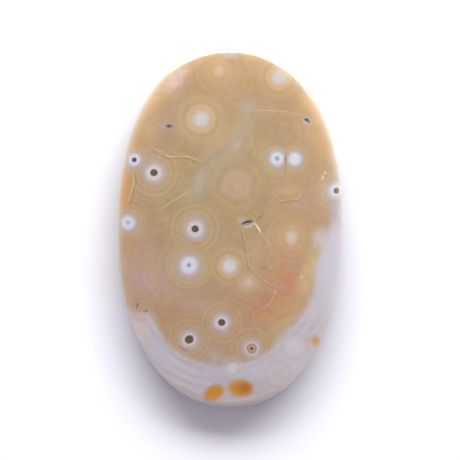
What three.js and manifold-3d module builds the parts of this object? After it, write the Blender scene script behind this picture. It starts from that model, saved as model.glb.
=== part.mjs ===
// Ocean jasper pendant stone: one polished oval pebble of chalcedony with a low crowned face and a flat back.
// The edge is rounded all the way round, and a slanting cord hole runs from the top edge out through the back.
// Millimetres. The stone lies on its back: +Z points out of its face, +Y to the drilled end,
// and the origin is the middle of the back.
import * as THREE from "three";
import { mergeVertices } from "three/addons/utils/BufferGeometryUtils.js";
import Module from "manifold-3d";

// The oval, a superellipse seen from above. A plain ellipse has a fullness of 2.
const stoneLength = 50;
const stoneWidth = 31.4;
const fullness = 2.2;

// The edge, from the back upwards: a small round, an upright band and a flatter round.
const backRound = { width: 1, height: 1 };
const bandHeight = 4.05;
const faceRound = { width: 0.9, height: 0.45 };

// How much the middle of the face stands above the face's rim.
const crownHeight = 2;

// The cord hole. Its mouth is where the band of the top edge turns into the face, and it slants
// down to the back.
const cordHole = { x: -0.3, radius: 0.5, mouthHeight: 4.95, slantDegrees: 27 };

// Two small open pits in the polished face, each a shallow lens with its long way turned from +X.
const facePits = [
  { x: 2.35, y: 0.6, length: 1.7, width: 0.62, depth: 0.4, turnDegrees: 17 },
  { x: 10.7, y: 14.83, length: 0.85, width: 0.5, depth: 0.35, turnDegrees: -28 },
];

// How finely the curved faces are cut.
const stepsAround = 96;
const stepsPerRound = 6;
const stepsAcrossBack = 5;
const stepsAcrossFace = 9;

const halfLength = stoneLength / 2;
const halfWidth = stoneWidth / 2;
const bandTop = backRound.height + bandHeight;

// 0 at the middle of the stone and 1 on its outline.
function outwardShare(x, y) {
  const sum = Math.abs(x / halfWidth) ** fullness + Math.abs(y / halfLength) ** fullness;
  return sum ** (1 / fullness);
}

// The point of the outline at an angle, and the outline's outward normal there.
function outlineAt(angle) {
  const along = (value, half) => half * Math.sign(value) * Math.abs(value) ** (2 / fullness);
  const point = new THREE.Vector2(
    along(Math.cos(angle), halfWidth),
    along(Math.sin(angle), halfLength),
  );
  const slope = (value, half) => (Math.sign(value) * Math.abs(value / half) ** (fullness - 1)) / half;
  const normal = new THREE.Vector2(slope(point.x, halfWidth), slope(point.y, halfLength)).normalize();
  return { point, normal };
}

// A quarter ellipse of the edge, as insets from the outline and heights.
function quarterRound(round, startHeight, angleFrom, angleTo, direction) {
  const points = [];
  for (let step = 0; step <= stepsPerRound; step++) {
    const angle = THREE.MathUtils.lerp(angleFrom, angleTo, step / stepsPerRound);
    const inset = round.width * (1 - Math.cos(angle));
    const height = startHeight + direction * round.height * Math.sin(angle);
    points.push({ inset, height });
  }
  return points;
}

// The section from the middle of the back, out round the edge and in to the middle of the face,
// as a profile to turn. Its radius is the half width less the inset.
function sectionProfile() {
  const back = quarterRound(backRound, backRound.height, Math.PI / 2, 0, -1);
  const face = quarterRound(faceRound, bandTop, 0, Math.PI / 2, 1);
  const profile = [];
  for (let step = 0; step < stepsAcrossBack; step++)
    profile.push(new THREE.Vector2(((halfWidth - backRound.width) * step) / stepsAcrossBack, 0));
  for (const { inset, height } of [...back, ...face])
    profile.push(new THREE.Vector2(halfWidth - inset, height));
  const rim = profile.at(-1);
  for (let step = 1; step <= stepsAcrossFace; step++)
    profile.push(new THREE.Vector2(rim.x * (1 - step / stepsAcrossFace), rim.y));
  return profile;
}

// The turned section drawn out to the oval, with the crown raised on its face.
function stoneGeometry() {
  const turned = new THREE.LatheGeometry(sectionProfile(), stepsAround);
  turned.rotateX(Math.PI / 2);
  const position = turned.attributes.position;
  for (let i = 0; i < position.count; i++) {
    const radius = Math.hypot(position.getX(i), position.getY(i));
    const angle = Math.atan2(position.getY(i), position.getX(i));
    const height = position.getZ(i);
    const innerInset = height > backRound.height ? faceRound.width : backRound.width;
    const inset = Math.min(halfWidth - radius, innerInset);
    const { point, normal } = outlineAt(angle);
    const plan = point.addScaledVector(normal, -inset);
    plan.multiplyScalar(Math.min(1, radius / (halfWidth - innerInset)));
    const crown = height > bandTop ? crownHeight * (1 - outwardShare(plan.x, plan.y) ** 2) : 0;
    position.setXYZ(i, plan.x, plan.y, height + crown);
  }
  return turned;
}

// The height of the crowned face over a point inside its rim.
function faceHeight(x, y) {
  return bandTop + faceRound.height + crownHeight * (1 - outwardShare(x, y) ** 2);
}

// The drill that makes the cord hole, long enough to leave the stone at both ends.
function cordDrill() {
  const slant = THREE.MathUtils.degToRad(cordHole.slantDegrees);
  const drillLength = (2.5 * cordHole.mouthHeight) / Math.sin(slant);
  const drill = new THREE.CylinderGeometry(cordHole.radius, cordHole.radius, drillLength, 20);
  drill.rotateX(slant);
  drill.translate(cordHole.x, halfLength, cordHole.mouthHeight);
  return drill;
}

// A lens that cuts one pit, centred on the face.
function pitCutter(pit) {
  const lens = new THREE.SphereGeometry(0.5, 16, 10);
  lens.scale(pit.length, pit.width, 2 * pit.depth);
  lens.rotateZ(THREE.MathUtils.degToRad(pit.turnDegrees));
  lens.translate(pit.x, pit.y, faceHeight(pit.x, pit.y));
  return lens;
}

const wasm = await Module();
wasm.setup();

// A closed geometry as a solid that can be joined and cut.
function toSolid(geometry) {
  const bare = geometry.clone();
  bare.deleteAttribute("normal");
  bare.deleteAttribute("uv");
  const merged = mergeVertices(bare, 1e-4);
  return new wasm.Manifold(
    new wasm.Mesh({
      numProp: 3,
      vertProperties: new Float32Array(merged.attributes.position.array),
      triVerts: new Uint32Array(merged.index.array),
    }),
  );
}

// A solid back as a geometry for a mesh.
function toGeometry(solid) {
  const { vertProperties, triVerts } = solid.getMesh();
  const geometry = new THREE.BufferGeometry();
  geometry.setAttribute("position", new THREE.BufferAttribute(vertProperties, 3));
  geometry.setIndex(new THREE.BufferAttribute(triVerts, 1));
  geometry.computeVertexNormals();
  return geometry;
}

let stoneSolid = toSolid(stoneGeometry()).subtract(toSolid(cordDrill()));
for (const pit of facePits) stoneSolid = stoneSolid.subtract(toSolid(pitCutter(pit)));

const polishedJasper = new THREE.MeshStandardMaterial({
  color: 0xc9b08c,
  roughness: 0.12,
  metalness: 0,
});

const stone = new THREE.Mesh(toGeometry(stoneSolid), polishedJasper);
stone.name = "stone";

const pendantStone = new THREE.Group();
pendantStone.add(stone);

export default pendantStone;
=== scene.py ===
import math

import bpy
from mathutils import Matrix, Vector


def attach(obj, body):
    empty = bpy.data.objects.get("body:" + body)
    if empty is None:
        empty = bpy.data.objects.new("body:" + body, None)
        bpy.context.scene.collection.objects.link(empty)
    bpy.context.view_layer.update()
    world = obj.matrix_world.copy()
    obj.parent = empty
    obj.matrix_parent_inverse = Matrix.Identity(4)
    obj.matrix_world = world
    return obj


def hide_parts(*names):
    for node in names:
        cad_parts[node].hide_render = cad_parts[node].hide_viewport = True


# A polished oval of ocean jasper on a pale table, seen from straight above.
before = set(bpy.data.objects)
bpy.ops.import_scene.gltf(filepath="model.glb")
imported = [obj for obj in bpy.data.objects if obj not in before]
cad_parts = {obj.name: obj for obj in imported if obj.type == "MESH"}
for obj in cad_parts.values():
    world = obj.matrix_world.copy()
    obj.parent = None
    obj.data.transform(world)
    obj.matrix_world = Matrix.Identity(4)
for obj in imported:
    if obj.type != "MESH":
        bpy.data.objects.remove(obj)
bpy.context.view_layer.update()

mm = 0.001  # sizes and places below are in millimetres

stoneShape = {
    "length": 50.0,
    "width": 31.4,
    "fullness": 2.2,  # the oval's exponent, which is 2 for a plain ellipse
    "outlineSteps": 24,  # bevel segments for each quarter of the oval
    "outlineProfile": 0.5325,  # of that bevel, a little fuller than an ellipse as the oval is
    "cornerReach": 0.9999,  # share of a half side that a corner's bevel takes
    "mergeWithin": 0.001,  # a share of a half side too
    "middleWithin": 0.01,
    "backRound": (1.0, 1.0),  # width and height
    "band": 4.05,
    "faceRound": (0.9, 0.45),
    "roundSteps": 5,
    "crown": 2.0,
    "smoothLevels": 2,
    "sharpAngle": 35,
}

cordHole = {
    "x": -0.3,
    "radius": 0.5,
    "mouthHeight": 4.95,
    "slant": 27,
    "sides": 40,
    "drillReach": 2.5,  # the drill's length, over that of the hole
}

pitLens = {"radius": 0.5, "segments": 32, "rings": 16}  # a ball, stretched to each pit's size
facePits = [
    {"at": (2.35, 0.6), "length": 1.7, "width": 0.62, "depth": 0.4, "turn": 17},
    {"at": (10.7, 14.83), "length": 0.85, "width": 0.5, "depth": 0.35, "turn": -28},
]

halfLength = stoneShape["length"] / 2
halfWidth = stoneShape["width"] / 2
bandTop = stoneShape["backRound"][1] + stoneShape["band"]
faceRim = bandTop + stoneShape["faceRound"][1]


def faceHeight(x, y):
    fullness = stoneShape["fullness"]
    share = (abs(x / halfWidth) ** fullness + abs(y / halfLength) ** fullness) ** (1 / fullness)
    return faceRim + stoneShape["crown"] * (1 - share**2)


def selectFaces(piece, wanted):
    bpy.ops.object.mode_set(mode="EDIT")
    bpy.ops.mesh.select_mode(type="FACE")
    bpy.ops.mesh.select_all(action="DESELECT")
    bpy.ops.object.mode_set(mode="OBJECT")
    for face in piece.data.polygons:
        face.select = wanted(face)
    bpy.ops.object.mode_set(mode="EDIT")


# insets the selected cap step by step along a quarter ellipse
def roundOver(width, height, steps):
    for step in range(steps):
        start = math.radians(90 * step / steps)
        end = math.radians(90 * (step + 1) / steps)
        inward = width * (math.cos(start) - math.cos(end))
        outward = height * (math.sin(end) - math.sin(start))
        bpy.ops.mesh.inset(thickness=inward * mm, depth=outward * mm)


# swaps the one big cap on that side for a grid of quads
def gridCap(piece, side):
    selectFaces(piece, lambda face: len(face.vertices) > 4 and face.normal.z * side > 0)
    bpy.ops.mesh.delete(type="ONLY_FACE")
    bpy.ops.mesh.select_mode(type="EDGE")
    bpy.ops.mesh.select_all(action="DESELECT")
    bpy.ops.mesh.select_non_manifold()
    bpy.ops.mesh.fill_grid(span=stoneShape["outlineSteps"], offset=stoneShape["outlineSteps"] // 2)


# squashes the oval to a round, pulls its middle up softly and stretches it back
def raiseCrown(piece):
    squash = stoneShape["width"] / stoneShape["length"]
    selectFaces(piece, lambda face: face.center.z < bandTop * mm)
    bpy.ops.mesh.hide()
    bpy.ops.mesh.select_all(action="SELECT")
    bpy.ops.transform.resize(value=(1, squash, 1))
    bpy.ops.mesh.select_mode(type="VERT")
    bpy.ops.mesh.select_all(action="DESELECT")
    bpy.ops.object.mode_set(mode="OBJECT")
    for vertex in piece.data.vertices:
        offCentre = math.hypot(vertex.co.x, vertex.co.y)
        inMiddle = offCentre < stoneShape["middleWithin"] * mm
        vertex.select = inMiddle and vertex.co.z > bandTop * mm
    bpy.ops.object.mode_set(mode="EDIT")
    bpy.ops.transform.translate(
        value=(0, 0, stoneShape["crown"] * mm),
        use_proportional_edit=True,
        proportional_edit_falloff="INVERSE_SQUARE",
        proportional_size=halfWidth * mm,
    )
    bpy.ops.mesh.select_all(action="SELECT")
    bpy.ops.transform.resize(value=(1, 1 / squash, 1))
    bpy.ops.mesh.reveal(select=False)
    bpy.ops.object.mode_set(mode="OBJECT")


def cutAway(piece, tool):
    cut = piece.modifiers.new("cut", "BOOLEAN")
    cut.operation = "DIFFERENCE"
    cut.solver = "EXACT"
    cut.object = tool
    bpy.context.view_layer.objects.active = piece
    bpy.ops.object.modifier_apply(modifier=cut.name)
    bpy.data.objects.remove(tool)


def makeStone():
    bpy.ops.object.select_all(action="DESELECT")
    bpy.ops.mesh.primitive_plane_add(size=2)
    stone = bpy.context.object
    stone.name = "jasperStone"
    bpy.ops.object.mode_set(mode="EDIT")
    bpy.ops.mesh.select_mode(type="VERT")
    bpy.ops.mesh.select_all(action="SELECT")
    bpy.ops.mesh.bevel(  # rounds the square to the stone's oval outline
        offset=stoneShape["cornerReach"],
        offset_type="OFFSET",
        affect="VERTICES",
        segments=stoneShape["outlineSteps"],
        profile=stoneShape["outlineProfile"],
    )
    bpy.ops.mesh.select_all(action="SELECT")
    bpy.ops.mesh.remove_doubles(threshold=stoneShape["mergeWithin"])
    bpy.ops.transform.resize(value=(halfWidth * mm, halfLength * mm, 1))
    bpy.ops.transform.translate(value=(0, 0, stoneShape["backRound"][1] * mm))
    bpy.ops.mesh.extrude_region_move(
        TRANSFORM_OT_translate={"value": (0, 0, stoneShape["band"] * mm)}
    )
    middle = (stoneShape["backRound"][1] + stoneShape["band"] / 2) * mm
    for side, edge in ((1, "faceRound"), (-1, "backRound")):
        selectFaces(
            stone,
            lambda face, side=side: len(face.vertices) > 4 and (face.center.z - middle) * side > 0,
        )
        roundOver(*stoneShape[edge], stoneShape["roundSteps"])
        gridCap(stone, side)
    raiseCrown(stone)
    finer = stone.modifiers.new("finer", "SUBSURF")
    finer.levels = stoneShape["smoothLevels"]
    finer.render_levels = stoneShape["smoothLevels"]
    bpy.ops.object.modifier_apply(modifier=finer.name)
    return stone


def drillCordHole(stone):
    slant = math.radians(cordHole["slant"])
    drillLength = cordHole["drillReach"] * cordHole["mouthHeight"] / math.sin(slant)
    bpy.ops.mesh.primitive_cylinder_add(
        vertices=cordHole["sides"],
        radius=cordHole["radius"] * mm,
        depth=drillLength * mm,
        location=(cordHole["x"] * mm, halfLength * mm, cordHole["mouthHeight"] * mm),
        rotation=(slant - math.pi / 2, 0, 0),
    )
    cutAway(stone, bpy.context.object)


def openPits(stone):
    for pit in facePits:
        x, y = pit["at"]
        bpy.ops.mesh.primitive_uv_sphere_add(
            segments=pitLens["segments"],
            ring_count=pitLens["rings"],
            radius=pitLens["radius"] * mm,
            location=(x * mm, y * mm, faceHeight(x, y) * mm),
            rotation=(0, 0, math.radians(pit["turn"])),
            scale=(pit["length"], pit["width"], 2 * pit["depth"]),
        )
        cutAway(stone, bpy.context.object)


def finishStone(stone):
    bpy.ops.object.select_all(action="DESELECT")
    stone.select_set(True)
    bpy.context.view_layer.objects.active = stone
    bpy.ops.object.shade_smooth_by_angle(angle=math.radians(stoneShape["sharpAngle"]))


stone = makeStone()
drillCordHole(stone)
openPits(stone)
finishStone(stone)
print("stone shaped:", len(stone.data.polygons), "faces")

# Colours as they read in daylight, red, green and blue from 0 to 255.
tones = {
    "tan": (176, 146, 110),
    "olive": (164, 145, 99),
    "khaki": (180, 158, 104),
    "mist": (176, 163, 139),
    "fog": (187, 174, 160),
    "cream": (208, 184, 138),
    "rose": (188, 153, 132),
    "mauve": (191, 159, 153),
    "blush": (216, 191, 178),
    "gold": (203, 170, 122),
    "honey": (192, 150, 88),
    "nut": (185, 151, 111),
    "earth": (184, 141, 110),
    "orange": (205, 150, 86),
    "apricot": (214, 168, 122),
    "salmon": (202, 136, 98),
    "brick": (188, 131, 103),
    "amber": (204, 140, 0),
    "rust": (178, 98, 0),
    "ash": (190, 179, 182),
    "lilac": (190, 183, 195),
    "pearl": (206, 201, 212),
    "periwinkle": (196, 192, 211),
    "milk": (208, 200, 205),
    "blueMilk": (210, 212, 224),
    "warmMilk": (206, 198, 198),
    # the painted highlight of the face's rim
    "paintedRimHighlight": (240, 230, 220),
    "eyeRim": (84, 64, 44),
    "eyeCore": (112, 88, 62),
    "eyeOlive": (104, 88, 44),
    "inkBlue": (66, 68, 84),
    "slateBlue": (132, 144, 176),
    "dusk": (92, 76, 92),
    "umber": (98, 72, 66),
    "flaw": (218, 188, 146),
    "flawWhite": (250, 232, 206),
    "brownRed": (160, 110, 86),
    "shade": (150, 126, 92),
}

lightGain = (1.28, 1.24, 1.31)  # how much the studio light lifts red, green and blue

# The noises of the finish: scale, detail, roughness and seed of each.
noises = {
    "sway": (0.35, 2, 0.5, 0),
    "washSway": (0.2, 2, 0.5, 2),
    "bodyTone": (0.14, 3, 0.55, 3),
    "khaki": (0.35, 3, 0.55, 11),
    "rose": (0.42, 3, 0.55, 17),
    "gold": (0.9, 3, 0.55, 23),
    "milkTone": (0.22, 3, 0.5, 5),
    "milkBreaks": (0.3, 2, 0.5, 9),
    "ringBreaks": (0.4, 2, 0.5, 13),
    "speckSize": (0.9, 1, 0.5, 31),
    "wear": (0.9, 2, 0.5, 37),
    "cloud": (1.6, 4, 0.6, 19),
    "swell": (0.5, 3, 0.5, 27),
    "dullness": (0.8, 4, 0.6, 29),
}

# The eased changes of the finish: where each starts and ends, and its first and last result, which
# are 0 and 1 where none are given.
changes = {
    "bodyTone": (0.38, 0.6, 0, 0.5),
    "blotch": (0.48, 0.66),
    "milkTone": (0.4, 0.6),
    "milkBands": (-0.6, 1),
    "milkBreaks": (0.35, 0.6, 0.1, 0.55),
    "milkBandsEnd": (7, 2, 0.3, 1),
    "milky": (-0.9, 0.7),
    "ringBreaks": (0.35, 0.6, 0.25, 1),
    "milkyRings": (0, 1, 1, 0.25),
    "pastHearts": (0.9, 1.6),
    "milkyOrbs": (0, 1, 1, 0.12),
    "ownArea": (0.5, 0.15),
    "speckDots": (-0.08, 0.06),
    "wear": (0.35, 0.6, 0.35, 1),
    "faceSide": (bandTop - 1.5, bandTop),
    # where the painted rim highlight runs, and how it weakens towards the stone's lower end, away from
    # the lamp
    "paintedHighlightTop": (faceRim + 0.32, bandTop + 0.1),
    "paintedHighlightFoot": (bandTop - 1.2, bandTop, 0, 0.55),
    "paintedHighlightUpward": (-20, 5, 0.2, 1),
    "cloud": (0.3, 0.7, 0.97, 1.03),
    "dullness": (0.45, 0.7, 0.1, 0.2),
}

jasper = {
    "sway": 0.3,  # mm that the pattern wanders over in all
    "washSway": 1.6,  # mm that the washes of colour wander over besides
    "lean": (1.1, -0.8, 0),  # mm that the pattern moves sideways for each mm below the face
    "orbReach": 6.0,  # mm that a ramp of rings spans
    "kindBlend": 0.2,  # mm over which orbs of one kind run together
    "orbBlend": 0.3,  # and orbs of any kind
    "lobeBlend": 2.0,  # and lobes of the tan body
    "bandRate": 5.2,  # radians of the milky end's bands for each mm
    "ovalSoft": 0.85,  # share of an oval's radius that is soft, where it names none
    "lineFade": 0.35,  # mm over which a line ends, where it names none
    "shadedWidth": 0.32,  # of the shaded line beside a fracture
    "shadedCover": 0.5,
    "eyeEdge": (1.2, 0.75),  # shares of an eye's radius where its edge ends and starts
    "speckScale": 2.6,
    "speckSize": 0.42,
    "swellStrength": 0.35,
    "swellDepth": 0.03,
    "ior": 1.54,
    "scatterWeight": 0.8,
    "scatterRadius": (1.0, 0.85, 0.75),
    "scatterDepth": 4,
    "coatRoughness": 0.08,
}


# A tone as the linear colour that the studio light brings back to it.
def paint(name):
    linear = []
    for value, gain in zip(tones[name], lightGain):
        share = value / 255
        light = share / 12.92 if share <= 0.04045 else ((share + 0.055) / 1.055) ** 2.4
        linear.append(light / gain)
    return (*linear, 1.0)


# Small helpers that add one shader node each and hand back its output.
def addNode(tree, kind, settings, inputs):
    node = tree.nodes.new(kind)
    for name, value in settings.items():
        setattr(node, name, value)
    for key, value in inputs.items():
        if isinstance(value, bpy.types.NodeSocket):
            tree.links.new(value, node.inputs[key])
        else:
            node.inputs[key].default_value = value
    return node


def calc(tree, operation, first, second=0.0, third=0.0):
    settings = {"operation": operation}
    return addNode(tree, "ShaderNodeMath", settings, {0: first, 1: second, 2: third}).outputs[0]


def vectorCalc(tree, operation, first, second=(0, 0, 0), third=(0, 0, 0)):
    inputs = {0: first, 1: second, 2: third}
    node = addNode(tree, "ShaderNodeVectorMath", {"operation": operation}, inputs)
    single = operation in ("DISTANCE", "LENGTH", "DOT_PRODUCT")
    return node.outputs["Value" if single else "Vector"]


def scaled(tree, vector, factor):
    settings = {"operation": "SCALE"}
    node = addNode(tree, "ShaderNodeVectorMath", settings, {0: vector, "Scale": factor})
    return node.outputs["Vector"]


def ease(tree, value, start, end, low=0.0, high=1.0):
    inputs = {
        "Value": value,
        "From Min": start,
        "From Max": end,
        "To Min": low,
        "To Max": high,
    }
    settings = {"interpolation_type": "SMOOTHSTEP"}
    return addNode(tree, "ShaderNodeMapRange", settings, inputs).outputs["Result"]


def layer(tree, factor, under, over, mode="MIX"):
    settings = {"data_type": "RGBA", "blend_type": mode}
    node = addNode(tree, "ShaderNodeMix", settings, {0: factor, 6: under, 7: over})
    return node.outputs[2]


def noise(tree, point, name):
    scale, detail, roughness, seed = noises[name]
    inputs = {"Vector": point, "W": seed, "Scale": scale, "Detail": detail, "Roughness": roughness}
    node = addNode(tree, "ShaderNodeTexNoise", {"noise_dimensions": "4D"}, inputs)
    return node.outputs


def planAxes(turn):
    across = Vector((math.cos(math.radians(turn)), math.sin(math.radians(turn)), 0))
    return across, Vector((-across.y, across.x, 0))


# The plan turned about the stone's middle, made once for each turn that is asked for.
def turnedPlan(tree, plan, turn, made):
    if turn not in made:
        across, along = (vectorCalc(tree, "DOT_PRODUCT", plan, axis) for axis in planAxes(turn))
        made[turn] = addNode(tree, "ShaderNodeCombineXYZ", {}, {0: across, 1: along}).outputs[0]
    return made[turn]


# How much an oval on the plan covers. Its soft edge goes a third as far out as it goes in.
def ovalCover(tree, plan, oval, made):
    turn = oval.get("turn", 0)
    soft = oval.get("soft", jasper["ovalSoft"])
    wide, high = oval["radii"]
    across, along = (axis.dot(Vector((*oval["at"], 0))) for axis in planAxes(turn))
    turned = turnedPlan(tree, plan, turn, made)
    perRadius = (1 / wide, 1 / high, 0)
    toMiddle = (-across / wide, -along / high, 0)
    share = vectorCalc(tree, "MULTIPLY_ADD", turned, perRadius, toMiddle)
    share = vectorCalc(tree, "LENGTH", share)
    return ease(tree, share, 1 + soft / 3, 1 - soft, 0, oval["cover"])


# Follows a line on the plan: how far to its left a point lies, and how surely it lies beside it.
def followLine(tree, plan, line):
    spots = [Vector(spot) for spot in line["points"]]
    run = spots[-1] - spots[0]
    forward = run.normalized()
    left = Vector((-forward.y, forward.x))
    along = vectorCalc(tree, "DOT_PRODUCT", plan, (*forward / run.length, 0))
    along = calc(tree, "SUBTRACT", along, forward.dot(spots[0]) / run.length)
    path = addNode(tree, "ShaderNodeFloatCurve", {}, {"Value": along})
    path.mapping.use_clip = False
    knees = path.mapping.curves[0].points
    stops = [((spot - spots[0]).dot(forward) / run.length, spot.dot(left)) for spot in spots]
    knees[0].location = stops[0]
    knees[1].location = stops[-1]
    for stop in stops[1:-1]:
        knees.new(*stop)
    for knee in knees:
        knee.handle_type = line.get("knees", "VECTOR")
    path.mapping.update()
    sideways = vectorCalc(tree, "DOT_PRODUCT", plan, (*left, 0))
    offset = calc(tree, "SUBTRACT", sideways, path.outputs[0])
    away = vectorCalc(tree, "DISTANCE", plan, (*(spots[0] + run / 2), 0))
    fade = line.get("fade", jasper["lineFade"])
    return offset, ease(tree, away, run.length / 2 + fade, run.length / 2 - fade)


# Soft ovals of colour in the tan body, the wide ones first.
bodyPatches = [
    {"tone": "olive", "at": (-1.5, 5.0), "radii": (11.0, 8.0), "cover": 0.8},
    {"tone": "olive", "at": (-8.0, 3.4), "radii": (6.2, 6.2), "cover": 0.7},
    {"tone": "nut", "at": (0.0, 19.0), "radii": (10.5, 5.5), "cover": 0.75},
    {"tone": "nut", "at": (10.0, 4.0), "radii": (6.0, 11.0), "cover": 0.8},
    {"tone": "olive", "at": (3.6, 12.4), "radii": (2.8, 5.5), "cover": 0.6},
    {"tone": "gold", "at": (12.4, 12.8), "radii": (2.9, 9.0), "turn": 20, "cover": 0.9},
    {"tone": "apricot", "at": (10.1, 18.2), "radii": (1.6, 5.5), "turn": 45, "cover": 0.75},
    {"tone": "blush", "at": (14.6, 8.4), "radii": (1.3, 2.4), "cover": 0.55},
    {"tone": "apricot", "at": (1.0, 23.2), "radii": (10.5, 3.0), "cover": 1.0},
    {"tone": "cream", "at": (1.0, 24.6), "radii": (9.0, 1.8), "cover": 0.8},
    {"tone": "apricot", "at": (-9.9, 18.7), "radii": (6.5, 2.0), "turn": 45, "cover": 1.0},
    {"tone": "gold", "at": (-12.0, 14.0), "radii": (2.2, 4.0), "turn": -20, "cover": 0.7},
    {"tone": "honey", "at": (-13.4, 11.6), "radii": (1.2, 3.2), "turn": -20, "cover": 0.7},
    {"tone": "blush", "at": (-7.4, 20.2), "radii": (2.8, 1.4), "turn": 45, "cover": 1.0},
    {"tone": "earth", "at": (-12.6, 0.2), "radii": (3.2, 4.0), "cover": 0.7},
    {"tone": "blush", "at": (13.5, 4.4), "radii": (2.4, 3.2), "cover": 0.5},
    {"tone": "mauve", "at": (-11.0, -6.8), "radii": (4.6, 4.2), "cover": 0.85},
    {"tone": "orange", "at": (-13.9, -2.6), "radii": (1.5, 1.0), "cover": 0.45},
    {"tone": "mauve", "at": (-7.4, -9.6), "radii": (3.4, 1.1), "turn": -45, "cover": 0.65},
    {"tone": "earth", "at": (-7.2, -12.8), "radii": (4.8, 3.2), "cover": 0.85},
    {"tone": "orange", "at": (-9.3, -13.7), "radii": (1.2, 3.0), "turn": 45, "cover": 0.3},
    {"tone": "mauve", "at": (-3.4, -11.2), "radii": (3.8, 1.2), "cover": 0.65},
    {"tone": "earth", "at": (1.2, -14.0), "radii": (5.4, 5.0), "cover": 0.9},
    {"tone": "mauve", "at": (-3.8, -17.4), "radii": (3.2, 1.5), "cover": 0.7},
    {"tone": "gold", "at": (11.4, -6.8), "radii": (2.7, 7.6), "turn": -20, "cover": 0.95},
    {"tone": "flaw", "at": (11.3, -5.6), "radii": (1.7, 4.6), "turn": -20, "cover": 0.6},
    {"tone": "gold", "at": (8.1, 5.0), "radii": (2.1, 1.1), "cover": 0.6},
    {"tone": "mauve", "at": (9.6, 2.8), "radii": (1.9, 0.9), "cover": 0.6},
    {"tone": "gold", "at": (7.6, -13.6), "radii": (3.4, 1.9), "turn": 45, "cover": 0.8},
    {"tone": "gold", "at": (3.5, -3.6), "radii": (1.3, 2.6), "cover": 0.45},
    {"tone": "gold", "at": (-1.6, 11.6), "radii": (3.4, 1.6), "turn": 45, "cover": 0.6},
    {"tone": "apricot", "at": (8.6, -1.6), "radii": (3.6, 3.2), "cover": 0.45},
    {"tone": "brick", "at": (4.3, -10.2), "radii": (4.3, 2.7), "turn": 20, "cover": 0.95},
    {"tone": "salmon", "at": (5.8, -8.0), "radii": (1.8, 1.6), "cover": 0.6},
    {"tone": "salmon", "at": (7.5, -6.3), "radii": (2.5, 4.9), "cover": 0.95},
    {"tone": "orange", "at": (7.0, -11.4), "radii": (2.4, 1.8), "turn": 20, "cover": 0.7},
    {"tone": "orange", "at": (4.6, -12.7), "radii": (1.7, 1.1), "cover": 0.85},
    {"tone": "honey", "at": (4.9, -15.2), "radii": (1.0, 1.4), "turn": 20, "cover": 0.95},
]

# The grey-green river that runs down from the top, its paler places and the shaded line in it.
bodyBands = [
    {"tone": "mist", "width": 2.8, "cover": 0.95, "fade": 2.5, "knees": "AUTO",
     "points": [(2.3, 17.8), (2.0, 14.8), (0.9, 11.8), (-2.8, 8.2), (-4.4, 5.6), (-6.8, 3.6)]},
    {"tone": "fog", "width": 1.7, "cover": 0.55, "fade": 1.5, "points": [(1.3, 16.8), (4.1, 16.5)]},
    {"tone": "fog", "width": 1.4, "cover": 0.9, "fade": 1.5, "points": [(1.3, 13.4), (0.2, 10.4)]},
    {"tone": "fog", "width": 1.4, "cover": 0.7, "fade": 1.5, "points": [(-3.9, 7.4), (-4.9, 5.0)]},
    {"tone": "shade", "width": 0.6, "cover": 0.25, "fade": 0.8, "knees": "AUTO",
     "points": [(1.4, 14.0), (0.4, 11.7), (-2.1, 9.8), (-3.8, 8.7), (-4.8, 7.7)]},
]

# Loose blotches all over the body: tone, whose noise has the same name, and how much one covers
# at most.
blotches = [("khaki", 0.45), ("rose", 0.55), ("gold", 0.25)]

# Lobes of the tan body on the plan: middle and radius. Past them the stone is milky white.
tanLobes = [
    ((0.0, 12.0), 18.0),
    ((3.0, 1.2), 10.8),
    ((-1.0, -8.6), 10.6),
    ((3.2, -6.9), 8.6),
    ((-9.5, 0.0), 8.5),
    ((-12.6, -7.2), 4.6),
]

# Soft ovals of colour in the milky end.
milkPatches = [
    # partly the milky end's own paler tone and partly painted light: the right side, nearer the lamp,
    # made paler
    {"tone": "pearl", "at": (15.0, -5.5), "radii": (4.8, 13.5), "cover": 0.95},
    {"tone": "periwinkle", "at": (4.0, -19.9), "radii": (3.2, 1.7), "cover": 0.9},
    {"tone": "periwinkle", "at": (-9.0, -18.0), "radii": (1.3, 4.2), "turn": 45, "cover": 0.7},
    {"tone": "blush", "at": (-12.6, -13.4), "radii": (1.9, 3.6), "turn": 20, "cover": 0.5},
    {"tone": "mauve", "at": (-12.9, -11.8), "radii": (2.5, 1.7), "cover": 0.6},
    {"tone": "pearl", "at": (8.6, -18.2), "radii": (4.6, 3.6), "cover": 0.55},
    {"tone": "pearl", "at": (11.2, -11.9), "radii": (1.8, 1.8), "cover": 0.7},
    {"tone": "pearl", "at": (0.3, -19.5), "radii": (1.2, 0.8), "cover": 0.8},
]

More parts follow.
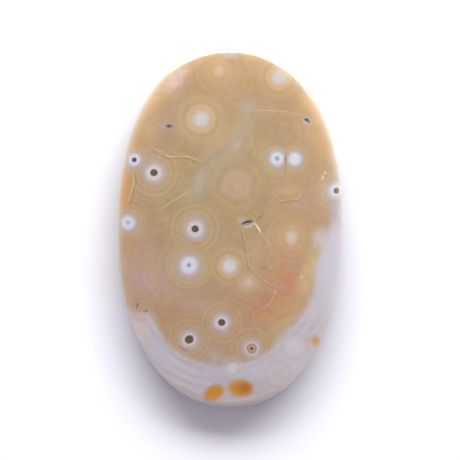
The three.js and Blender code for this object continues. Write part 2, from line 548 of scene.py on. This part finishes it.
# What an orb shows from its heart outwards: radius, tone and how much of it covers.
orbKinds = {
    "eyed": [
        (0.0, "milk", 1), (0.75, "milk", 1), (1.0, "milk", 0.85), (1.25, "ash", 0.75),
        (1.55, "ash", 0.5), (1.85, "fog", 0.4), (2.15, "mauve", 0.35), (2.4, "cream", 0.35),
        (2.65, "olive", 0.45), (3.0, "rose", 0.25), (3.25, "cream", 0.4), (3.5, "olive", 0.45),
        (4.0, "rose", 0.2), (4.6, "olive", 0.0),
    ],
    "blue": [
        (0.0, "blueMilk", 1), (0.85, "blueMilk", 1), (1.1, "pearl", 0.95), (1.35, "lilac", 0.75),
        (1.6, "ash", 0.6), (1.9, "fog", 0.5), (2.2, "fog", 0.4), (2.5, "cream", 0.35),
        (2.8, "olive", 0.4), (3.1, "cream", 0.3), (3.5, "olive", 0.3), (4.2, "mauve", 0.3),
        (5.0, "tan", 0.0),
    ],
    "pale": [
        (0.0, "warmMilk", 0.95), (0.6, "warmMilk", 0.9), (0.9, "warmMilk", 0.75),
        (1.15, "warmMilk", 0.5), (1.4, "flaw", 0.45), (1.7, "flaw", 0.5), (1.95, "cream", 0.45),
        (2.3, "olive", 0.3), (2.7, "cream", 0.4), (2.95, "nut", 0.4), (3.3, "gold", 0.3),
        (3.7, "olive", 0.3), (4.6, "tan", 0.0),
    ],
    "faint": [
        (0.0, "warmMilk", 0.5), (0.4, "blush", 0.45), (0.8, "cream", 0.4), (1.2, "nut", 0.3),
        (1.5, "cream", 0.35), (1.8, "nut", 0.4), (2.2, "gold", 0.35), (2.6, "olive", 0.25),
        (3.0, "gold", 0.25), (3.5, "olive", 0.2), (4.2, "tan", 0.0),
    ],
    "disc": [
        (0.0, "blush", 0.4), (0.5, "blush", 0.35), (1.1, "apricot", 0.35), (1.7, "blush", 0.3),
        (2.1, "mauve", 0.35), (2.6, "olive", 0.45), (3.0, "khaki", 0.3), (3.4, "gold", 0.25),
        (3.9, "olive", 0.3), (4.6, "olive", 0.0),
    ],
    "ghost": [
        (0.0, "pearl", 0.75), (0.6, "pearl", 0.75), (1.0, "milk", 0.65), (1.3, "ash", 0.4),
        (1.6, "ash", 0.35), (1.9, "pearl", 0.4), (2.2, "lilac", 0.3), (2.6, "ash", 0.0),
    ],
}

# Orbs of the face, and those of the back with the depth of their hearts. Of a trace only the
# rings that run round every orb can be seen.
orbs = {
    "crown": {"at": (-4.06, 15.04), "kind": "pale", "size": 1.05},
    "twinLeft": {"at": (6.50, 9.48), "kind": "blue", "size": 0.78},
    "twinRight": {"at": (8.98, 9.45), "kind": "blue", "size": 0.7},
    "left": {"at": (-10.63, 7.56), "kind": "eyed", "size": 1.0},
    "leftRim": {"at": (-13.40, 9.38), "kind": "blue", "size": 0.68},
    "middle": {"at": (-4.90, -0.25), "kind": "eyed", "size": 1.02},
    "blue": {"at": (-5.73, -5.31), "kind": "blue", "size": 1.0},
    "plain": {"at": (-0.11, -5.42), "kind": "pale", "size": 0.85},
    "tanDisc": {"at": (0.94, 5.88), "kind": "disc", "size": 1.0},
    "paleOval": {"at": (8.53, -1.46), "kind": "faint", "size": 1.1},
    "top": {"at": (-1.61, 21.69), "kind": "faint", "size": 1.0},
    "topRight": {"at": (6.78, 20.85), "kind": "pale", "size": 0.95},
    "leftEdge": {"at": (-14.2, 0.64), "kind": "blue", "size": 0.78},
    "low": {"at": (-1.16, -13.28), "kind": "eyed", "size": 0.86},
    "lowest": {"at": (-5.73, -15.63), "kind": "eyed", "size": 0.86},
    "ringEye": {"at": (2.97, -16.85), "kind": "eyed", "size": 0.88},
    "right": {"at": (14.82, 5.07), "kind": "blue", "size": 0.9},
    "lowGhost": {"at": (8.98, -16.57), "kind": "ghost", "size": 1.3},
    "endGhost": {"at": (6.6, -20.5), "kind": "ghost", "size": 1.2},
    "tipGhost": {"at": (0.3, -19.5), "kind": "ghost", "size": 0.7},
    "seam": {"at": (4.4, -5.2), "kind": "trace", "size": 0.8},
    "seamLow": {"at": (2.5, -7.6), "kind": "faint", "size": 0.8},
    "aboveTwin": {"at": (6.78, 13.04), "kind": "trace", "size": 1.0},
    "upperLeft": {"at": (-9.7, 17.2), "kind": "trace", "size": 0.7},
    "backEye": {"at": (4.0, 6.0), "kind": "eyed", "size": 1.0, "depth": 0.0},
    "backBlue": {"at": (-6.5, 10.5), "kind": "blue", "size": 1.1, "depth": 0.3},
    "backPale": {"at": (-5.0, -7.0), "kind": "pale", "size": 1.2, "depth": 0.0},
    "backLow": {"at": (6.5, -9.0), "kind": "eyed", "size": 0.9, "depth": 0.2},
    "backTop": {"at": (3.5, 16.5), "kind": "faint", "size": 1.3, "depth": 0.0},
}

# The eyes in some hearts, the wider one of each pair first.
eyes = [
    {"orb": "left", "tone": "eyeRim", "radius": 0.52, "cover": 1.0},
    {"orb": "left", "tone": "eyeCore", "radius": 0.34, "cover": 0.6},
    {"orb": "middle", "tone": "eyeRim", "radius": 0.51, "cover": 1.0},
    {"orb": "middle", "tone": "eyeCore", "radius": 0.33, "cover": 0.6},
    {"orb": "low", "tone": "eyeRim", "radius": 0.49, "cover": 1.0},
    {"orb": "low", "tone": "eyeOlive", "radius": 0.3, "cover": 0.6},
    {"orb": "lowest", "tone": "eyeRim", "radius": 0.61, "cover": 1.0},
    {"orb": "lowest", "tone": "eyeCore", "radius": 0.44, "cover": 0.5},
    {"orb": "ringEye", "tone": "shade", "radius": 0.73, "cover": 1.0},
    {"orb": "ringEye", "tone": "rose", "radius": 0.55, "cover": 1.0},
    {"orb": "ringEye", "tone": "eyeRim", "radius": 0.22, "cover": 1.0},
    {"orb": "right", "tone": "eyeOlive", "radius": 0.44, "cover": 1.0},
    {"orb": "leftRim", "tone": "inkBlue", "radius": 0.36, "cover": 1.0},
    {"orb": "blue", "tone": "slateBlue", "radius": 0.32, "cover": 0.85},
    {"orb": "twinLeft", "tone": "slateBlue", "radius": 0.36, "cover": 0.7},
    {"orb": "leftEdge", "tone": "slateBlue", "radius": 0.36, "cover": 0.45},
    {"orb": "backEye", "tone": "eyeRim", "radius": 0.53, "cover": 1.0},
    {"orb": "backLow", "tone": "eyeCore", "radius": 0.45, "cover": 1.0},
]

# Rings that run round every orb, past its own.
growthRings = [
    (0.0, "cream", 0.0), (1.4, "cream", 0.0), (1.7, "gold", 0.25), (2.0, "olive", 0.3),
    (2.4, "gold", 0.35), (2.75, "rose", 0.25), (3.05, "cream", 0.3), (3.3, "olive", 0.35),
    (3.7, "rose", 0.25), (4.1, "gold", 0.3), (4.5, "olive", 0.25), (5.3, "tan", 0.0),
]

# Healed fractures: a bright line, and for some a shaded one so far to its left or, below 0, right.
fractures = [
    {"tone": "flaw", "width": 0.17, "cover": 0.85, "shadedSide": -0.2,
     "points": [(-11.1, 11.3), (-9.9, 10.3), (-8.5, 9.75), (-5.9, 9.8), (-4.4, 9.2), (-3.6, 8.8)]},
    {"tone": "flaw", "width": 0.2, "cover": 0.5,
     "points": [(-9.5, 2.5), (-7.7, 3.7), (-5.2, 5.2)]},
    {"tone": "flaw", "width": 0.14, "cover": 0.7,
     "points": [(3.5, 16.2), (7.4, 16.1), (10.3, 15.5)]},
    {"tone": "flaw", "width": 0.18, "cover": 0.9, "shadedSide": -0.2,
     "points": [(5.9, 4.7), (6.8, 3.7), (9.45, 3.95), (10.2, 5.0)]},
    {"tone": "flaw", "width": 0.17, "cover": 0.55, "shadedSide": -0.2,
     "points": [(1.7, -0.3), (2.2, -2.6), (2.5, -5.2), (4.2, -7.1), (5.6, -7.95), (6.5, -8.4)]},
    {"tone": "flaw", "width": 0.2, "cover": 0.5,
     "points": [(6.4, -8.4), (5.8, -10.1), (5.2, -10.9), (3.5, -11.7), (3.1, -13.1), (4.3, -15.0)]},
    {"tone": "blush", "width": 0.2, "cover": 0.4,
     "points": [(-12.0, -6.5), (-11.9, -7.6), (-10.0, -9.7), (-11.2, -10.7)]},
    {"tone": "flaw", "width": 0.2, "cover": 0.85, "shadedSide": 0.2,
     "points": [(-13.5, 7.5), (-13.4, 6.2), (-13.8, 4.7), (-14.3, 3.3), (-15.4, 3.0)]},
]

# Small sharp marks of the face: inclusions, stains, short cracks, dashes and flakes, and painted shade
# in the two pits.
faceMarks = [
    {"tone": "orange", "at": (-14.95, 5.6), "radii": (1.35, 2.9), "cover": 0.8, "soft": 0.4},
    {"tone": "honey", "at": (-2.3, -23.1), "radii": (1.8, 1.25), "turn": 30, "cover": 0.8, "soft": 0.6},
    {"tone": "amber", "at": (-2.3, -23.1), "radii": (1.6, 1.05), "turn": 30, "cover": 1.0, "soft": 0.5},
    {"tone": "honey", "at": (1.4, -22.4), "radii": (2.1, 1.5), "cover": 0.8, "soft": 0.6},
    {"tone": "amber", "at": (1.5, -22.4), "radii": (1.8, 1.3), "cover": 0.95, "soft": 0.5},
    {"tone": "rust", "at": (2.0, -22.4), "radii": (1.2, 1.0), "cover": 0.8, "soft": 0.8},
    {"tone": "lilac", "at": (15.3, 1.9), "radii": (1.8, 2.7), "cover": 0.8, "soft": 0.7},
    {"tone": "gold", "at": (11.6, -15.75), "radii": (1.0, 0.9), "turn": -30, "cover": 0.7},
    {"tone": "amber", "at": (11.95, -15.95), "radii": (0.65, 0.85), "turn": -30, "cover": 0.6,
     "soft": 0.8},
    {"tone": "blush", "at": (-7.7, 20.2), "radii": (2.4, 1.0), "turn": 45, "cover": 0.5},
    {"tone": "ash", "at": (6.6, -20.5), "radii": (1.4, 1.3), "cover": 0.7},
    {"tone": "pearl", "at": (12.66, -1.57), "radii": (1.7, 1.9), "cover": 0.65},
    {"tone": "blueMilk", "at": (-0.11, -5.42), "radii": (1.15, 1.15), "cover": 0.6},
    {"tone": "warmMilk", "at": (8.55, -1.5), "radii": (0.95, 1.6), "cover": 0.4},
    {"tone": "honey", "at": (4.4, -5.2), "radii": (0.9, 0.8), "cover": 0.35},
    {"tone": "ash", "at": (-2.0, -18.1), "radii": (1.2, 1.0), "cover": 0.5},
    {"tone": "lilac", "at": (-0.1, 23.9), "radii": (1.4, 0.7), "cover": 0.6},
    {"tone": "blush", "at": (9.93, -6.89), "radii": (0.32, 0.32), "cover": 0.7},
    {"tone": "ash", "at": (1.7, 0.95), "radii": (1.0, 0.5), "turn": 17, "cover": 0.5, "soft": 0.8},
    {"tone": "ash", "at": (2.5, 0.3), "radii": (0.95, 0.5), "turn": 17, "cover": 0.7, "soft": 0.6},
    # painted shade in the slit pit: a darker lavender oval, and a dark line along the pit's upper wall
    {"tone": "dusk", "at": (2.42, 0.45), "radii": (0.8, 0.24), "turn": 17, "cover": 0.5, "soft": 0.8},
    {"tone": "umber", "at": (2.3, 0.62), "radii": (0.85, 0.16), "turn": 17, "cover": 0.95, "soft": 0.6},
    {"tone": "flawWhite", "at": (3.8, -0.12), "radii": (1.0, 0.14), "turn": -56, "cover": 0.9,
     "soft": 0.6},
    {"tone": "flaw", "at": (5.1, -1.9), "radii": (1.15, 0.12), "turn": -56, "cover": 0.4, "soft": 0.6},
    {"tone": "brownRed", "at": (4.1, 1.35), "radii": (0.9, 0.12), "turn": 38, "cover": 0.7, "soft": 0.6},
    {"tone": "lilac", "at": (10.7, 14.8), "radii": (0.9, 0.75), "turn": -30, "cover": 0.5, "soft": 0.7},
    # painted shade: a dark oval that fills the small pit at the upper right
    {"tone": "umber", "at": (10.7, 14.83), "radii": (0.48, 0.24), "turn": -30, "cover": 1.0,
     "soft": 0.5},
    {"tone": "ash", "at": (-8.7, 14.0), "radii": (1.4, 0.9), "cover": 0.45},
    {"tone": "dusk", "at": (-8.5, 14.0), "radii": (1.1, 0.8), "cover": 0.2},
    {"tone": "dusk", "at": (-8.5, 14.0), "radii": (0.55, 0.28), "cover": 1.0, "soft": 0.8},
    {"tone": "brownRed", "at": (7.72, 9.2), "radii": (0.2, 1.9), "cover": 0.45, "soft": 0.8},
    {"tone": "shade", "at": (7.65, 9.4), "radii": (0.17, 0.45), "cover": 0.7, "soft": 0.8},
    {"tone": "orange", "at": (-4.55, -2.2), "radii": (0.95, 0.22), "cover": 0.9, "soft": 0.6},
    {"tone": "brick", "at": (-4.55, -2.25), "radii": (0.9, 0.12), "cover": 0.6, "soft": 0.6},
    {"tone": "orange", "at": (-4.6, -2.7), "radii": (0.9, 0.18), "cover": 0.6, "soft": 0.6},
    {"tone": "blush", "at": (2.4, -7.7), "radii": (1.5, 1.4), "cover": 0.4},
    {"tone": "brownRed", "at": (4.65, -5.65), "radii": (0.5, 0.22), "turn": 17, "cover": 0.55,
     "soft": 0.7},
    {"tone": "flawWhite", "at": (12.85, 6.9), "radii": (0.14, 0.36), "cover": 0.6, "soft": 0.8},
    {"tone": "flawWhite", "at": (13.15, 7.55), "radii": (0.16, 0.2), "cover": 0.6, "soft": 0.8},
    {"tone": "brownRed", "at": (-6.3, 20.2), "radii": (0.1, 0.3), "cover": 0.5, "soft": 0.8},
    {"tone": "umber", "at": (-12.85, -10.9), "radii": (0.13, 0.55), "turn": -20, "cover": 0.8},
    {"tone": "umber", "at": (-11.7, -11.7), "radii": (0.3, 0.14), "cover": 0.8},
    {"tone": "brownRed", "at": (-6.4, -17.0), "radii": (0.9, 0.13), "turn": -30, "cover": 0.7},
]

# Places where fine dark specks gather.
speckFields = [
    {"tone": "umber", "at": (-12.4, -11.3), "radii": (1.1, 1.3), "cover": 0.85},
    {"tone": "brownRed", "at": (-5.6, -17.7), "radii": (2.6, 0.8), "turn": -30, "cover": 0.8},
    {"tone": "shade", "at": (-4.9, -0.25), "radii": (2.3, 2.3), "cover": 0.45},
]


def orbCentre(orb):
    x, y = orb["at"]
    return Vector((x, y, orb.get("depth", faceHeight(x, y))))


# A colour ramp over a distance in mm: its colour and how much of it covers.
def distanceRamp(tree, distance, stages):
    share = calc(tree, "DIVIDE", distance, jasper["orbReach"])
    ramp = addNode(tree, "ShaderNodeValToRGB", {}, {"Fac": share})
    ramp.color_ramp.interpolation = "B_SPLINE"
    stops = ramp.color_ramp.elements
    while len(stops) < len(stages):
        stops.new(0.5)
    for stop, (radius, tone, cover) in zip(stops, stages):
        stop.position = radius / jasper["orbReach"]
        stop.color = (*paint(tone)[:3], cover)
    return ramp.outputs["Color"], ramp.outputs["Alpha"]


def brushOvals(tree, colour, plan, ovals):
    made = {}
    for oval in ovals:
        cover = ovalCover(tree, plan, oval, made)
        colour = layer(tree, cover, colour, paint(oval["tone"]))
    return colour


def brushLine(tree, colour, plan, line, wear=1.0):
    offset, near = followLine(tree, plan, line)
    seen = calc(tree, "MULTIPLY", near, wear)
    if "shadedSide" in line:
        beside = calc(tree, "ABSOLUTE", calc(tree, "SUBTRACT", offset, line["shadedSide"]))
        shaded = ease(tree, beside, jasper["shadedWidth"], 0, 0, jasper["shadedCover"])
        shaded = calc(tree, "MULTIPLY", shaded, seen)
        colour = layer(tree, shaded, colour, paint("shade"))
    cover = ease(tree, calc(tree, "ABSOLUTE", offset), line["width"], 0, 0, line["cover"])
    return layer(tree, calc(tree, "MULTIPLY", cover, seen), colour, paint(line["tone"]))


def tanBody(tree, straight, plan):
    rosy = ease(tree, noise(tree, straight, "bodyTone")["Fac"], *changes["bodyTone"])
    colour = layer(tree, rosy, paint("tan"), paint("rose"))
    colour = brushOvals(tree, colour, plan, bodyPatches)
    for band in bodyBands:
        colour = brushLine(tree, colour, plan, band)
    for tone, most in blotches:
        cover = ease(tree, noise(tree, straight, tone)["Fac"], *changes["blotch"], 0, most)
        colour = layer(tree, cover, colour, paint(tone))
    return colour


def milkyEnd(tree, straight, plan, reach):
    cool = ease(tree, noise(tree, straight, "milkTone")["Fac"], *changes["milkTone"])
    colour = layer(tree, cool, paint("ash"), paint("lilac"))
    colour = brushOvals(tree, colour, plan, milkPatches)
    bands = calc(tree, "SINE", calc(tree, "MULTIPLY", reach, jasper["bandRate"]))
    broken = ease(tree, noise(tree, straight, "milkBreaks")["Fac"], *changes["milkBreaks"])
    broken = calc(tree, "MULTIPLY", broken, ease(tree, reach, *changes["milkBandsEnd"]))
    cover = calc(tree, "MULTIPLY", ease(tree, bands, *changes["milkBands"]), broken)
    return layer(tree, cover, colour, paint("pearl"))


def scatterSpecks(tree, colour, straight, plan):
    cellInputs = {"Vector": straight, "Scale": jasper["speckScale"]}
    cells = addNode(tree, "ShaderNodeTexVoronoi", {}, cellInputs)
    size = calc(tree, "MULTIPLY", noise(tree, straight, "speckSize")["Fac"], jasper["speckSize"])
    inside = calc(tree, "SUBTRACT", size, cells.outputs["Distance"])
    dots = ease(tree, inside, *changes["speckDots"])
    made = {}
    for field in speckFields:
        cover = calc(tree, "MULTIPLY", ovalCover(tree, plan, field, made), dots)
        colour = layer(tree, cover, colour, paint(field["tone"]))
    return colour


# All that shows on the face alone: fractures, marks and specks.
def faceDetail(tree, colour, straight, plan):
    wear = ease(tree, noise(tree, straight, "wear")["Fac"], *changes["wear"])
    for fracture in fractures:
        colour = brushLine(tree, colour, plan, fracture, wear)
    colour = brushOvals(tree, colour, plan, faceMarks)
    return scatterSpecks(tree, colour, straight, plan)


# A noise's colour as a push to any side, from -0.5 to 0.5 on each axis.
def push(tree, straight, name):
    return vectorCalc(tree, "SUBTRACT", noise(tree, straight, name)["Color"], (0.5, 0.5, 0.5))


# Where a point of the stone lies, in mm: straight, then as the wandering pattern has it, on the
# plan, on the plan of the washes of colour, and how high.
def patternPlaces(tree):
    place = addNode(tree, "ShaderNodeTexCoord", {}, {}).outputs["Object"]
    straight = scaled(tree, place, 1 / mm)
    sway = push(tree, straight, "sway")
    point = vectorCalc(tree, "ADD", straight, scaled(tree, sway, jasper["sway"]))

    # below the face the pattern leans sideways, so that the back shows another cut of it
    height = vectorCalc(tree, "DOT_PRODUCT", straight, (0, 0, 1))
    sunk = calc(tree, "MAXIMUM", calc(tree, "SUBTRACT", bandTop, height), 0)
    lean = scaled(tree, jasper["lean"], sunk)
    plan = vectorCalc(tree, "MULTIPLY", vectorCalc(tree, "ADD", point, lean), (1, 1, 0))
    drift = push(tree, straight, "washSway")
    washSway = (jasper["washSway"], jasper["washSway"], 0)
    washPlan = vectorCalc(tree, "MULTIPLY_ADD", drift, washSway, plan)
    return straight, point, plan, washPlan, height


# How far out a point lies from the nearest heart of each kind, in that orb's own size, and from
# the nearest heart of any kind.
def orbDistances(tree, point):
    outward = {}
    for orb in orbs.values():
        kind = orb["kind"]
        distance = vectorCalc(tree, "DISTANCE", point, orbCentre(orb))
        distance = calc(tree, "DIVIDE", distance, orb["size"])
        if kind in outward:
            distance = calc(tree, "SMOOTH_MIN", outward[kind], distance, jasper["kindBlend"])
        outward[kind] = distance
    nearest = 100.0  # farther than any point lies
    for distance in outward.values():
        nearest = calc(tree, "SMOOTH_MIN", nearest, distance, jasper["orbBlend"])
    return outward, nearest


# How far past the tan body a point of the plan lies. In the body it is below 0.
def pastBody(tree, plan):
    reach = None
    for at, radius in tanLobes:
        distance = vectorCalc(tree, "DISTANCE", plan, (*at, 0))
        past = calc(tree, "SUBTRACT", distance, radius)
        if reach is None:
            reach = past
        else:
            reach = calc(tree, "SMOOTH_MIN", reach, past, jasper["lobeBlend"])
    return reach


# Rings round every orb, broken up and fainter in the milky end.
def paintRings(tree, colour, straight, nearest, milky):
    tone, cover = distanceRamp(tree, nearest, growthRings)
    broken = ease(tree, noise(tree, straight, "ringBreaks")["Fac"], *changes["ringBreaks"])
    cover = calc(tree, "MULTIPLY", cover, broken)
    cover = calc(tree, "MULTIPLY", cover, ease(tree, milky, *changes["milkyRings"]))
    return layer(tree, cover, colour, tone)


# The orbs. Of those that reach into the milky end, only the hearts show there, but for ghosts.
def paintOrbs(tree, colour, outward, nearest, milky):
    hidden = calc(tree, "MULTIPLY", milky, ease(tree, nearest, *changes["pastHearts"]))
    shown = ease(tree, hidden, *changes["milkyOrbs"])
    for kind, stages in orbKinds.items():
        tone, cover = distanceRamp(tree, outward[kind], stages)
        own = ease(tree, calc(tree, "SUBTRACT", outward[kind], nearest), *changes["ownArea"])
        cover = calc(tree, "MULTIPLY", cover, own)
        if kind != "ghost":
            cover = calc(tree, "MULTIPLY", cover, shown)
        colour = layer(tree, cover, colour, tone)
    return colour


def paintEyes(tree, colour, point):
    outerShare, innerShare = jasper["eyeEdge"]
    for eye in eyes:
        radius = eye["radius"]
        distance = vectorCalc(tree, "DISTANCE", point, orbCentre(orbs[eye["orb"]]))
        cover = ease(tree, distance, outerShare * radius, innerShare * radius, 0, eye["cover"])
        colour = layer(tree, cover, colour, paint(eye["tone"]))
    return colour


# A painted highlight along the thin rim of the face, standing in for light that soaks through and shines
# on the rounded edge. It is strongest at the upper end, where the lamp stands, and least at its lower
# end.
def paintRimHighlight(tree, colour, straight, height):
    paintedRimHighlight = ease(tree, height, *changes["paintedHighlightTop"])
    paintedRimHighlight = calc(tree, "MULTIPLY", paintedRimHighlight, ease(tree, height, *changes["paintedHighlightFoot"]))
    lengthwise = vectorCalc(tree, "DOT_PRODUCT", straight, (0, 1, 0))
    upward = ease(tree, lengthwise, *changes["paintedHighlightUpward"])
    return layer(tree, calc(tree, "MULTIPLY", paintedRimHighlight, upward), colour, paint("paintedRimHighlight"))


# A fine cloudiness all through.
def paintCloud(tree, colour, straight):
    level = ease(tree, noise(tree, straight, "cloud")["Fac"], *changes["cloud"])
    grey = addNode(tree, "ShaderNodeCombineColor", {}, {0: level, 1: level, 2: level})
    return layer(tree, 1.0, colour, grey.outputs[0], "MULTIPLY")


# The polish: faint undulation, a few duller places, and light that scatters below the surface.
def addPolish(tree, colour, straight):
    bumpInputs = {
        "Strength": jasper["swellStrength"],
        "Distance": jasper["swellDepth"] * mm,
        "Height": noise(tree, straight, "swell")["Fac"],
    }
    bump = addNode(tree, "ShaderNodeBump", {}, bumpInputs)
    dull = ease(tree, noise(tree, straight, "dullness")["Fac"], *changes["dullness"])
    shaderInputs = {
        "Base Color": colour,
        "Roughness": dull,
        "Normal": bump.outputs["Normal"],
        "IOR": jasper["ior"],
        "Subsurface Weight": jasper["scatterWeight"],
        "Subsurface Radius": jasper["scatterRadius"],
        "Subsurface Scale": jasper["scatterDepth"] * mm,
        "Coat Weight": 1.0,
        "Coat Roughness": jasper["coatRoughness"],
    }
    shader = addNode(tree, "ShaderNodeBsdfPrincipled", {}, shaderInputs)
    addNode(tree, "ShaderNodeOutputMaterial", {}, {"Surface": shader.outputs["BSDF"]})


def jasperFinish():
    material = bpy.data.materials.new("polishedJasper")
    material.use_nodes = True
    tree = material.node_tree
    tree.nodes.clear()
    straight, point, plan, washPlan, height = patternPlaces(tree)
    faceSide = ease(tree, height, *changes["faceSide"])
    outward, nearest = orbDistances(tree, point)
    colour = tanBody(tree, straight, washPlan)
    reach = pastBody(tree, plan)
    milky = ease(tree, reach, *changes["milky"])
    colour = layer(tree, milky, colour, milkyEnd(tree, straight, washPlan, reach))
    colour = paintRings(tree, colour, straight, nearest, milky)
    colour = paintOrbs(tree, colour, outward, nearest, milky)
    colour = paintEyes(tree, colour, point)
    colour = layer(tree, faceSide, colour, faceDetail(tree, colour, straight, plan))
    colour = paintRimHighlight(tree, colour, straight, height)
    colour = paintCloud(tree, colour, straight)
    addPolish(tree, colour, straight)
    print("jasper finish:", len(tree.nodes), "nodes")
    return material


stone.data.materials.clear()
stone.data.materials.append(jasperFinish())
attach(stone, "root")
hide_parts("stone")

# Table, light and camera.
studio = {
    "tableSize": 3.0,
    "tableTone": (0.765, 0.78, 0.81, 1),
    "tableRoughness": 0.9,
    "tableShine": 0.1,
    "skyTone": (0.88, 0.79, 0.90, 1),
    "skyStrength": 0.55,
    "keyPlace": (0.055, 0.41, 0.36),
    "keySize": (0.8, 0.27),
    "keyPower": 6.0,
    "cameraHeight": 0.6,
    "sensorWidth": 36,
    "clipStart": 0.01,
    "frameWidth": 64.34,  # mm that the picture spans halfway up the stone's edge
    "frameShift": (-0.04, -0.41),  # mm from the stone's middle to the picture's
}


def makeTable():
    bpy.ops.object.select_all(action="DESELECT")
    bpy.ops.mesh.primitive_plane_add(size=studio["tableSize"])
    table = bpy.context.object
    table.name = "paleTable"
    finish = bpy.data.materials.new("paleTable")
    finish.use_nodes = True
    surface = finish.node_tree.nodes["Principled BSDF"]
    surface.inputs["Base Color"].default_value = studio["tableTone"]
    surface.inputs["Roughness"].default_value = studio["tableRoughness"]
    surface.inputs["Specular IOR Level"].default_value = studio["tableShine"]
    table.data.materials.append(finish)


def makeLights():
    sky = bpy.data.worlds.new("softSky")
    bpy.context.scene.world = sky
    sky.use_nodes = True
    background = sky.node_tree.nodes["Background"]
    background.inputs["Color"].default_value = studio["skyTone"]
    background.inputs["Strength"].default_value = studio["skyStrength"]
    bpy.ops.object.light_add(type="AREA", location=studio["keyPlace"])
    key = bpy.context.object
    key.name = "window"
    key.data.shape = "RECTANGLE"
    key.data.size, key.data.size_y = studio["keySize"]
    key.data.energy = studio["keyPower"]
    key.rotation_euler = Vector(studio["keyPlace"]).to_track_quat("Z", "Y").to_euler()


def makeCamera():
    height = studio["cameraHeight"]
    shiftX, shiftY = studio["frameShift"]
    bpy.ops.object.camera_add(location=(shiftX * mm, shiftY * mm, height), rotation=(0, 0, 0))
    camera = bpy.context.object
    above = height - bandTop / 2 * mm
    camera.data.sensor_width = studio["sensorWidth"]
    camera.data.lens = studio["sensorWidth"] * above / (studio["frameWidth"] * mm)
    camera.data.clip_start = studio["clipStart"]
    bpy.context.scene.camera = camera


makeTable()
makeLights()
makeCamera()
bpy.context.scene.view_settings.view_transform = "Standard"
print("studio ready")
